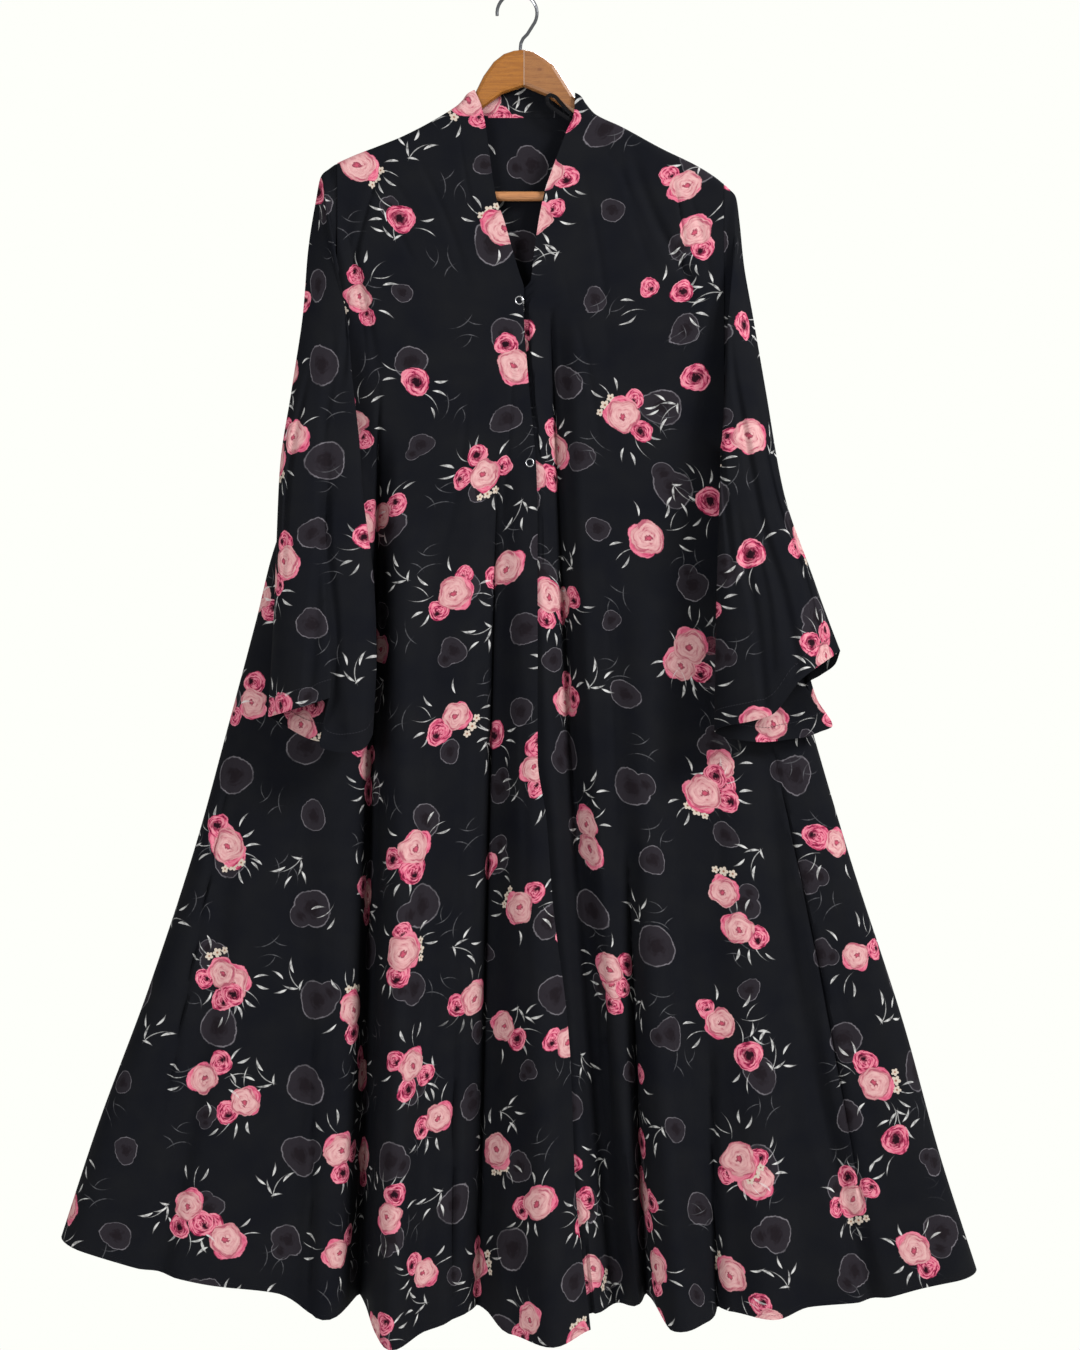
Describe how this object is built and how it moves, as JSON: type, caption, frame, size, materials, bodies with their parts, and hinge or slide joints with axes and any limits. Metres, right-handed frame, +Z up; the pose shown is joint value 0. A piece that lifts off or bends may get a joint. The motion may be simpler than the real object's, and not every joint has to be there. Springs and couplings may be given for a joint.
{
  "type": "abaya cloak on a wooden hanger",
  "caption": "Flared, front-opening full-length cloak in dark rose-print crepe with wide sleeves, hanging flat on a wooden hanger with a steel hook.",
  "frame": {"origin": "the seat of the hanger's hook, the highest point of the inside of its arc, where a rail carries it", "axes": "+Z up, -Y towards the front of the cloak, +X to the viewer's right, which is the wearer's left"},
  "size_m": [1.003, 0.1637, 1.472],
  "materials": {
    "crepe": "matt near-black navy crepe printed with pink roses, cream blossom, grey leaf strokes and dark mauve ghost flowers",
    "tape": "narrow black satin tape",
    "snap_metal": "small polished ring snaps",
    "honey_wood": "clear satin lacquer on honey-coloured wood",
    "tan_wood": "clear satin lacquer on pinkish tan wood",
    "hook_steel": "bright plated steel wire"
  },
  "bodies": {
    "root": {"front_right": "crepe", "front_left": "crepe", "back": "crepe", "sleeve_right": "crepe", "sleeve_left": "crepe", "neckband": "crepe", "hanging_loop": "tape", "snap_ring_1": "snap_metal", "snap_ring_2": "snap_metal", "snap_button_1": "snap_metal", "snap_button_2": "snap_metal", "hanger_arm_right": "honey_wood", "hanger_arm_left": "tan_wood", "trouser_bar": "tan_wood", "hook": "hook_steel"}
  },
  "joints": []
}
